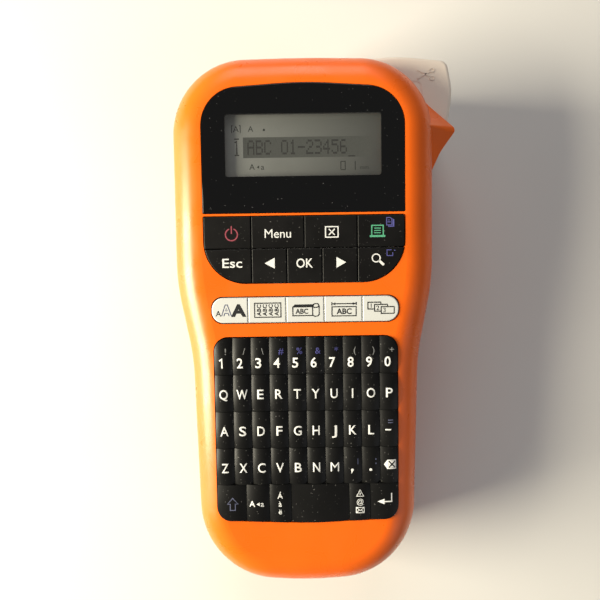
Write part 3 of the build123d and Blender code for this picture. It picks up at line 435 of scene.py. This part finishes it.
def capital_height():
    """Height of a capital in the built-in font at size 1."""
    curve = bpy.data.curves.new("measure", "FONT")
    curve.body = "H"
    holder = bpy.data.objects.new("measure", curve)
    bpy.context.scene.collection.objects.link(holder)
    bpy.context.view_layer.update()
    height = holder.dimensions.y
    bpy.data.objects.remove(holder)
    return height


CAPITAL = capital_height()
LETTER_WEIGHT = 0.01  # how much letters are thickened, as a share of their size
DIGIT_WEIGHT = 0.014
BOLD = 0.45  # widths of drawn lines
LINE = 0.4
THIN = 0.34
HAIR = 0.26
# Width of each character as a share of the height of a capital, for an even grotesque look.
DIGIT_WIDTH = 0.62
WIDTHS = {
    "A": 0.89, "B": 0.76, "C": 0.84, "D": 0.8, "E": 0.69, "F": 0.66, "G": 0.86, "H": 0.77, "I": 0.15,
    "J": 0.56, "K": 0.82, "L": 0.64, "M": 0.92, "N": 0.77, "O": 0.92, "P": 0.74, "Q": 0.92, "R": 0.8,
    "S": 0.76, "T": 0.77, "U": 0.77, "V": 0.85, "W": 1.2, "X": 0.85, "Y": 0.86, "Z": 0.75, "4": 0.66,
}

# Middles of the legends on the function keys and on the shortcut keys.
POWER_MARK = (-26.7, 33.85)
MENU_MARK = (-9.7, 34.05)
CLEAR_MARK = (10.1, 34.35)
PRINT_MARK = (26.85, 34.0)
ESCAPE_MARK = (-26.6, 23.4)
OK_MARK = (0.0, 23.1)
LEFT_TIP = (-14.7, 23.2)
RIGHT_TIP = (15.2, 23.2)
FIND_MARK = (26.3, 24.6)
FONT_FOOT = 3.95  # the line that the letters on the font key stand on
WRAP_MARK = (-13.85, 5.95)
FLAG_TEXT = (-1.3, 5.35)
LENGTH_MARK = (14.3, 5.15)
SERIAL_MARK = (25.5, 7.1)

# Places across the six keys of the bottom row.
SHIFT_U = -28.2
CAPS_U = -19.3
ACCENT_U = -10.4
SYMBOL_U = 19.6
ENTER_U = 31.4
BOTTOM_CAP = 2.1  # height of the capital on the caps key


def function_key_legends():
    """Legends of the nine function keys."""
    power = Print("legend_power", "power_key", RED)
    u, v = POWER_MARK
    power.arc(u, v, 2.2, BOLD, start=112, sweep=316)
    power.stroke([(u, v + 0.25), (u, v + 3.15)], BOLD)
    power.lay("power_key")

    menu = Print("legend_menu", "menu_key", WHITE)
    menu.text("Menu", *MENU_MARK, 3.15, LETTER_WEIGHT, width=9.65).lay("menu_key")

    clear = Print("legend_clear", "clear_key", WHITE)
    u, v = CLEAR_MARK
    clear.box(u, v, 4.6, 3.8, 0.42)
    clear.stroke([(u - 1.1, v - 1.1), (u + 1.1, v + 1.1)], LINE)
    clear.stroke([(u - 1.1, v + 1.1), (u + 1.1, v - 1.1)], LINE)
    clear.lay("clear_key")

    page = Print("legend_print", "print_key", GREEN)
    u, v = PRINT_MARK
    page.stroke([(u - 2.1, v - 1.1), (u - 2.1, v + 2.5), (u + 2.1, v + 2.5), (u + 2.1, v - 1.1)], 0.42)
    page.box(u, v - 1.4, 5.7, 0.75)
    for line in range(3):
        page.box(u, v - 0.2 + 0.85 * line, 2.4, THIN)
    page.lay("print_key")

    copies = Print("legend_copies", "print_key", BLUE)
    sheet = [(30.2, 36.6), (30.2, 39.3), (31.6, 39.3), (32.1, 38.8), (32.1, 36.6)]
    copies.stroke(sheet, 0.3, closed=True)
    copies.box(31.1, 37.7, 1.2, 0.3)
    copies.box(31.0, 38.4, 0.8, 0.25)
    copies.area([(32.4, 36.3), (33.0, 36.3), (33.0, 38.5), (32.4, 39.0)])
    copies.box(31.9, 36.1, 2.2, 0.35)
    copies.lay("print_key")

    escape = Print("legend_escape", "escape_key", WHITE)
    escape.text("Esc", *ESCAPE_MARK, 3.25, LETTER_WEIGHT, width=7.3).lay("escape_key")
    okay = Print("legend_ok", "ok_key", WHITE)
    okay.text("OK", *OK_MARK, 3.25, LETTER_WEIGHT, width=6.1).lay("ok_key")

    left = Print("legend_left", "left_key", WHITE)
    u, v = LEFT_TIP
    left.area([(u, v), (u + 3.7, v - 2.0), (u + 3.7, v + 2.0)]).lay("left_key")
    right = Print("legend_right", "right_key", WHITE)
    u, v = RIGHT_TIP
    right.area([(u, v), (u - 3.5, v + 2.0), (u - 3.5, v - 2.0)]).lay("right_key")

    find = Print("legend_find", "find_key", WHITE)
    u, v = FIND_MARK
    find.arc(u, v, 1.45, 0.42)
    find.stroke([(u + 1.0, v - 0.9), (u + 2.8, v - 2.6)], 0.9)
    find.lay("find_key")
    preview = Print("legend_preview", "find_key", BLUE)
    preview.stroke([(32.0, 27.5), (30.3, 27.5), (30.3, 25.4), (32.4, 25.4), (32.4, 26.6)], HAIR)
    preview.stroke([(32.9, 27.3), (33.4, 27.3)], 0.3)
    preview.lay("find_key")


def shortcut_legends():
    """Line drawings on the five white keys."""
    fonts = Print("legend_fonts", "font_key", DARK)
    fonts.text("A", -32.1, FONT_FOOT + 0.95, 2.0, LETTER_WEIGHT)
    fonts.text("A", -24.6, FONT_FOOT + 2.0, 4.1, 0.05, width=5.7)
    fonts.lay("font_key")
    outlined = Print("legend_outline", "font_key", SLATE)
    v = FONT_FOOT
    outlined.stroke([(-30.95, v), (-29.55, v + 4.15), (-28.75, v + 4.15), (-27.3, v)], THIN)
    outlined.stroke([(-30.1, v), (-29.75, v + 1.05), (-28.5, v + 1.05), (-28.15, v)], THIN)
    outlined.stroke([(-29.5, v + 1.95), (-29.15, v + 3.05), (-28.8, v + 1.95)], 0.24, closed=True)
    outlined.lay("font_key")

    wrap = Print("legend_wrap", "cable_wrap_key", DARK)
    u, v = WRAP_MARK
    wrap.box(u, v, 9.7, 5.2, LINE)
    for column in range(4):
        wrap.text("ABC", u - 3.25 + 2.17 * column, v, 1.4, 0.03, turn=90, width=4.3)
    wrap.lay("cable_wrap_key")

    flag = Print("legend_flag", "cable_flag_key", DARK)
    flag.stroke([(2.7, 3.75), (-4.6, 3.75), (-4.6, 7.0), (2.7, 7.0)], LINE)
    flag.area([(-4.75, 7.0), (2.9, 7.0), (3.4, 7.9), (-3.9, 7.9)])
    flag.stroke([(2.7, 7.0), (2.7, 3.9), (3.5, 3.4), (4.7, 3.6), (5.1, 4.2), (5.1, 7.5)], LINE)
    cable = [(2.7, 7.2), (3.3, 6.7), (4.5, 6.8), (5.1, 7.4), (4.6, 8.1), (3.4, 8.1), (2.8, 7.7)]
    flag.stroke(cable, LINE, closed=True)
    flag.text("ABC", *FLAG_TEXT, 1.8, 0.025, width=4.7)
    flag.lay("cable_flag_key")

    length = Print("legend_length", "length_key", DARK)
    u, v = LENGTH_MARK
    length.box(u, v, 8.9, 3.4, LINE)
    length.text("ABC", u, v, 1.95, 0.03, width=5.6)
    arrow_v = v + 2.8
    length.stroke([(u - 4.2, arrow_v), (u + 4.2, arrow_v)], LINE)
    for side in (-1, 1):
        tip = u + side * 4.5
        back = tip - side * 1.3
        length.box(tip, arrow_v, LINE, 1.2)
        length.area([(tip, arrow_v), (back, arrow_v + 0.5), (back, arrow_v - 0.5)][::side])
    length.lay("length_key")

    serial = Print("legend_serial", "serial_key", DARK)
    for step in range(3):
        u, v = SERIAL_MARK[0] + 2.45 * step, SERIAL_MARK[1] - 0.85 * step
        label = [(u + 0.1, v - 1.25), (u - 2.4, v - 1.25), (u - 2.4, v + 1.25), (u + 2.4, v + 1.25)]
        serial.stroke(label, LINE)
        serial.stroke([(u + 2.4, v + 1.25), (u + 2.4, v + 0.45 if step < 2 else v - 1.25)], LINE)
        serial.text(str(step + 1), u - 1.2, v, 1.6, LETTER_WEIGHT)
    serial.stroke([(30.4, 4.15), (32.8, 4.15)], LINE)
    serial.lay("serial_key")


def letter_legends():
    """Characters on the four rows of letter keys."""
    rows = (
        ("number_keys", "1234567890", -0.6, -2.4, 3.6, DIGIT_WEIGHT),
        ("upper_letter_keys", "QWERTYUIOP", 0.0, -0.1, CAP_HEIGHT, LETTER_WEIGHT),
        ("home_letter_keys", "ASDFGHJKL", 0.0, 0.0, CAP_HEIGHT, LETTER_WEIGHT),
        ("lower_letter_keys", "ZXCVBNM", 0.0, 0.0, CAP_HEIGHT, LETTER_WEIGHT),
    )
    for row, (node, characters, shift_u, shift_v, cap, weight) in enumerate(rows):
        legends = Print("legend_" + node, node, WHITE)
        middle = row_middle(row)
        for column, character in enumerate(characters):
            u, v = column_middle(column) + shift_u, middle + shift_v
            if character == "1":
                legends.stroke([(u - 0.7, v + 0.95), (u + 0.2, v + 1.7), (u + 0.2, v - 1.8)], 0.62)
            else:
                width = WIDTHS.get(character, DIGIT_WIDTH) * cap
                legends.text(character, u, v, cap, weight, width=width)
        if node == "home_letter_keys":
            legends.box(column_middle(LAST) - 0.5, middle - 0.1, 2.1, 0.5)
        if node == "lower_letter_keys":
            u, v = column_middle(LAST - 2) - 0.3, middle - 1.2
            legends.area([(u - 0.5, v + 0.1), (u + 0.45, v + 0.1), (u - 0.3, v - 1.5)])
            legends.disc(u, v, 0.48)
            legends.disc(column_middle(LAST - 1) - 0.3, v, 0.52)
            backspace(legends, column_middle(LAST) + 0.2, middle + 0.7)
        legends.lay(node)


def second_legends():
    """Smaller marks in the upper right corners of some letter keys."""
    plain = Print("legend_secondary_grey", "number_keys", GREY)
    tinted = Print("legend_secondary_blue", "number_keys", BLUE)
    for column, character in enumerate("!/\\#%&*()+"):
        legends = tinted if character in "#%&*" else plain
        legends.text(character, column_middle(column) + 1.0, row_middle(0) + 2.0, 2.3)
    plain.lay("number_keys")
    tinted.lay("number_keys")
    equals = Print("legend_equals", "home_letter_keys", SLATE)
    for side in (-1, 1):
        equals.box(column_middle(LAST) + 0.4, row_middle(2) + 3.0 + 0.45 * side, 1.9, 0.32)
    equals.lay("home_letter_keys")
    marks = Print("legend_marks", "lower_letter_keys", SLATE)
    v = row_middle(3) + 1.9
    marks.box(column_middle(LAST - 2) + 1.8, v, 0.3, 2.2)
    for side in (-1, 1):
        marks.disc(column_middle(LAST - 1) + 1.7, v + 0.8 * side, 0.3)
    marks.lay("lower_letter_keys")


def backspace(legends, u, v):
    """A solid tab pointing left with a cross left open in it."""
    left, right, half = u - 0.9, u + 2.2, 1.75
    middle, reach, gap, rim = (left + right) / 2, 1.3, 0.4, 0.4
    tag = [(u - 2.3, v), (u - 1.1, v - half), (left, v - half), (left, v + half), (u - 1.1, v + half)]
    legends.area(tag)
    for side, edge in ((-1, left), (1, right)):
        legends.box(middle, v + side * (half - rim / 2), right - left, rim)
        inner = middle + side * reach
        legends.box((edge + inner) / 2, v, abs(edge - inner), 2 * (half - rim))
    for turn in range(4):
        angle = math.pi / 2 * turn
        across = angle + math.pi / 2
        wedge = [(middle + gap * math.cos(angle), v + gap * math.sin(angle))]
        for side in (-1, 1):
            corner = angle + side * math.pi / 4
            out, back = 1.35 * reach, side * 0.7 * gap
            wedge.append((
                middle + out * math.cos(corner) - back * math.cos(across),
                v + out * math.sin(corner) - back * math.sin(across),
            ))
        legends.area(wedge)


def bottom_row_legends():
    """Symbols on the six keys of the bottom row."""
    v = row_middle(4) + 0.2
    shift = Print("legend_shift", "shift_key", SLATE)
    arrow = [(0, 2.3), (2.0, 0.1), (0.95, 0.1), (0.95, -2.3), (-0.95, -2.3), (-0.95, 0.1), (-2.0, 0.1)]
    shift.stroke([(SHIFT_U + across, v + along) for across, along in arrow], THIN, closed=True)
    shift.lay("shift_key")

    caps = Print("legend_caps", "caps_key", WHITE)
    caps.text("A", CAPS_U - 1.6, v, BOTTOM_CAP, LETTER_WEIGHT)
    caps.area([(CAPS_U, v - 0.1), (CAPS_U + 1.2, v - 0.8), (CAPS_U + 1.2, v + 0.6)])
    caps.text("a", CAPS_U + 2.2, v, BOTTOM_CAP, LETTER_WEIGHT)
    caps.lay("caps_key")

    accents = Print("legend_accents", "accent_key", WHITE)
    for line, letter in enumerate("Áàë"):
        accents.text(letter, ACCENT_U, v + 2.9 - 3.0 * line, 1.95, LETTER_WEIGHT)
    accents.lay("accent_key")

    symbols = Print("legend_symbols", "symbol_key", WHITE)
    u = SYMBOL_U
    symbols.stroke([(u - 1.3, v + 2.4), (u + 1.3, v + 2.4), (u, v + 4.7)], 0.3, closed=True)
    symbols.box(u, v + 3.3, 0.3, 0.85)
    symbols.text("@", u, v + 0.4, 1.9)
    symbols.box(u, v - 2.9, 3.0, 2.1, 0.28)
    symbols.stroke([(u - 1.4, v - 1.9), (u, v - 3.1), (u + 1.4, v - 1.9)], HAIR)
    for side in (-1, 1):
        symbols.stroke([(u + side * 1.4, v - 3.9), (u + side * 0.5, v - 2.9)], HAIR)
    symbols.lay("symbol_key")

    enter = Print("legend_enter", "enter_key", WHITE)
    shaft_v = v + 0.3
    enter.stroke([(ENTER_U, v + 3.4), (ENTER_U, shaft_v), (ENTER_U - 3.4, shaft_v)], 0.42)
    enter.area([(ENTER_U - 5.3, shaft_v), (ENTER_U - 2.7, shaft_v - 1.05), (ENTER_U - 2.7, shaft_v + 1.05)])
    enter.lay("enter_key")


# ---- display -------------------------------------------------------------------------------------
DOTS = {
    "A": ("01110", "10001", "10001", "11111", "10001", "10001", "10001"),
    "B": ("11110", "10001", "10001", "11110", "10001", "10001", "11110"),
    "C": ("01110", "10001", "10000", "10000", "10000", "10001", "01110"),
    " ": ("00000",) * 7,
    "-": ("00000", "00000", "00000", "11111", "00000", "00000", "00000"),
    "0": ("01110", "10001", "10001", "10001", "10001", "10001", "01110"),
    "1": ("00100", "01100", "00100", "00100", "00100", "00100", "01110"),
    "2": ("01110", "10001", "00001", "00110", "01000", "10000", "11111"),
    "3": ("11110", "00001", "00001", "01110", "00001", "00001", "11110"),
    "4": ("00010", "00110", "01010", "10010", "11111", "00010", "00010"),
    "5": ("11111", "10000", "11110", "00001", "00001", "10001", "01110"),
    "6": ("01110", "10000", "10000", "11110", "10001", "10001", "01110"),
}
DOT = (0.52, 0.76)  # pitch of the display's dots across and along
TEXT_LEFT = -20.5  # upper left corner of the line of text
TEXT_TOP = 68.5
CHARACTER_PITCH = 3.1
BAND = (1.7, 65.8, 47.6, 7.5)  # middle, width and height of the dot area behind the line of text
CURSOR_COLUMN = 12.4  # counted in characters from the left
LINE_NUMBER_U = -24.4  # middle of the line's number
STATUS_V = 72.6  # middle of the marks along the top of the display
STATUS_U = (-24.6, -19.2, -14.3)
FOOT_V = 58.8  # and of those along its foot
FOOT_U = (-18.9, -15.0)
LENGTH_U = (13.9, 19.2, 22.6)  # two digits and their unit, at the right of the foot


def display_contents():
    """Generic characters and marks on the display glass, over a slightly darker dot area."""
    band = Print("display_band", "lcd_glass", DIM)
    band.box(*BAND)
    band.lay("case", INK_LIFT / 2)

    line = Print("display_text", "lcd_glass", SEGMENT)
    for index, character in enumerate("ABC 01-23456"):
        for row, dots in enumerate(DOTS[character]):
            for column, lit in enumerate(dots):
                if lit == "1":
                    u = TEXT_LEFT + index * CHARACTER_PITCH + (column + 0.5) * DOT[0]
                    line.box(u, TEXT_TOP - (row + 0.5) * DOT[1], DOT[0] * 0.9, DOT[1] * 0.93)
    line.box(TEXT_LEFT + CURSOR_COLUMN * CHARACTER_PITCH, TEXT_TOP - 8.1 * DOT[1], 2.6, 0.45)
    u, v = LINE_NUMBER_U, TEXT_TOP
    line.stroke([(u - 0.7, v - 0.9), (u, v - 0.3), (u, v - 5.1)], 0.55)
    for bar_v in (v + 0.5, v - 5.4):
        line.box(u, bar_v, 1.7, 0.45)
    line.lay("case")

    marks = Print("display_marks", "lcd_glass", SEGMENT)
    u, v = STATUS_U[0], STATUS_V
    marks.text("A", u, v, 2.2)
    for side in (-1, 1):
        marks.box(u + side * 1.6, v, 0.3, 2.8)
        marks.box(u + side * 1.4, v + 1.3, 0.5, 0.25)
    marks.text("A", STATUS_U[1], v, 2.0)
    marks.disc(STATUS_U[2], v - 0.4, 0.45)
    v = FOOT_V
    marks.text("A", FOOT_U[0], v, 2.1)
    u = FOOT_U[0] + 1.7
    marks.area([(u, v - 0.1), (u + 0.9, v - 0.7), (u + 0.9, v + 0.5)])
    marks.text("a", FOOT_U[1], v, 2.1)
    u = LENGTH_U[0]
    marks.stroke([(u, v + 1.6), (u + 1.6, v + 1.6), (u + 1.6, v - 1.4), (u, v - 1.4)], 0.32)
    marks.stroke([(u, v + 1.6), (u, v - 1.4)], 0.32)
    marks.box(LENGTH_U[1], v, 0.36, 3.2)
    marks.text("mm", LENGTH_U[2], v - 0.6, 1.5)
    marks.lay("case")


SCISSORS = (48.5, 97.0)  # middle of the mark on the lever
SCISSORS_RAISED = 0.22 * MM
SCISSORS_SUNK = 0.1 * MM


def lever_mark():
    """A small raised pair of scissors on top of the lever, in the lever's own plastic."""
    u, v = SCISSORS
    flat = Print("lever_mark", "cutter_lever", MATERIALS["lever_cream"])
    for side in (-1, 1):
        blade = [(u - 3.4, v + side * 1.7), (u - 0.4, v + side * 0.15), (u + 1.5, v - side * 0.9)]
        flat.stroke(blade, 0.55)
        turns = [math.radians(angle) for angle in range(0, 361, 30)]
        ring = [(u + 2.3 + math.cos(turn), v - side * 1.5 + 0.75 * math.sin(turn)) for turn in turns]
        flat.stroke(ring, 0.4)
    mark = flat.mesh
    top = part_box("cutter_lever")[1].z
    raised = bmesh.ops.extrude_face_region(mark, geom=mark.faces[:])
    for vertex in mark.verts:
        vertex.co = Vector((vertex.co.x * MM, vertex.co.y * MM, top - SCISSORS_SUNK))
    for item in raised["geom"]:
        if isinstance(item, bmesh.types.BMVert):
            item.co.z = top + SCISSORS_RAISED
    bmesh.ops.recalc_face_normals(mark, faces=mark.faces[:])
    mesh = bpy.data.meshes.new("lever_mark")
    mark.to_mesh(mesh)
    mark.free()
    mesh.materials.append(flat.material)
    piece = bpy.data.objects.new("lever_mark", mesh)
    bpy.context.scene.collection.objects.link(piece)
    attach(piece, "lever")


function_key_legends()
shortcut_legends()
letter_legends()
second_legends()
bottom_row_legends()
display_contents()
lever_mark()


# ---- floor, lights and camera --------------------------------------------------------------------
def floor():
    """A plain pale table top."""
    mesh = bpy.data.meshes.new("floor")
    half = 3.0  # large enough to fill the camera's view
    height = -0.05 * MM  # just under the object
    corners = [(-half, -half, height), (half, -half, height), (half, half, height), (-half, half, height)]
    mesh.from_pydata(corners, [], [(0, 1, 2, 3)])
    material, tree, shader = new_material("floor", (0.72, 0.7, 0.67), 0.55)
    drift = levels(tree, noise(tree, 6, 3), 0.3, 0.7)
    tone = blend_colour(tree, drift, (0.69, 0.67, 0.64), (0.74, 0.72, 0.69))
    tree.links.new(tone, shader.inputs["Base Color"])
    mesh.materials.append(material)
    piece = bpy.data.objects.new("floor", mesh)
    bpy.context.scene.collection.objects.link(piece)


def soft_light(name, place, size, power, colour):
    """A square soft light aimed at the middle of the object."""
    light = bpy.data.lights.new(name, "AREA")
    light.shape = "SQUARE"
    light.size = size
    light.energy = power
    light.color = colour
    holder = bpy.data.objects.new(name, light)
    holder.location = place
    aim = Vector((0, 0, 40 * MM)) - Vector(place)
    holder.rotation_euler = aim.to_track_quat("-Z", "Y").to_euler()
    bpy.context.scene.collection.objects.link(holder)


def lights():
    """A strong soft light low on the left, weaker ones at the head and on the right, and a dim sky."""
    soft_light("key", (-1.0, -0.1, 0.4), 0.6, 41.0, (1.0, 0.93, 0.74))
    soft_light("head", (-0.08, 1.3, 0.8), 0.8, 8.0, (1.0, 0.95, 0.92))
    soft_light("fill", (1.0, -0.7, 0.7), 0.9, 1.8, (0.95, 0.97, 1.0))
    world = bpy.data.worlds.new("sky")
    world.use_nodes = True
    background = world.node_tree.nodes["Background"]
    background.inputs["Color"].default_value = (0.95, 0.97, 1.0, 1)
    background.inputs["Strength"].default_value = 0.16
    bpy.context.scene.world = world
    bpy.context.scene.view_settings.view_transform = "Standard"


CAMERA_PLACE = (-1.9 * MM, 9.5 * MM, 240 * MM)
CAMERA_TURN = math.radians(-0.82)
FOCAL_LENGTH = 30.2


def camera():
    """Straight above the object, turned slightly as in the photograph."""
    lens = bpy.data.cameras.new("camera")
    lens.sensor_width = 36.0
    lens.lens = FOCAL_LENGTH
    lens.clip_start = 0.005
    holder = bpy.data.objects.new("camera", lens)
    holder.location = CAMERA_PLACE
    holder.rotation_euler = (0, 0, CAMERA_TURN)
    bpy.context.scene.collection.objects.link(holder)
    bpy.context.scene.camera = holder


floor()
lights()
camera()
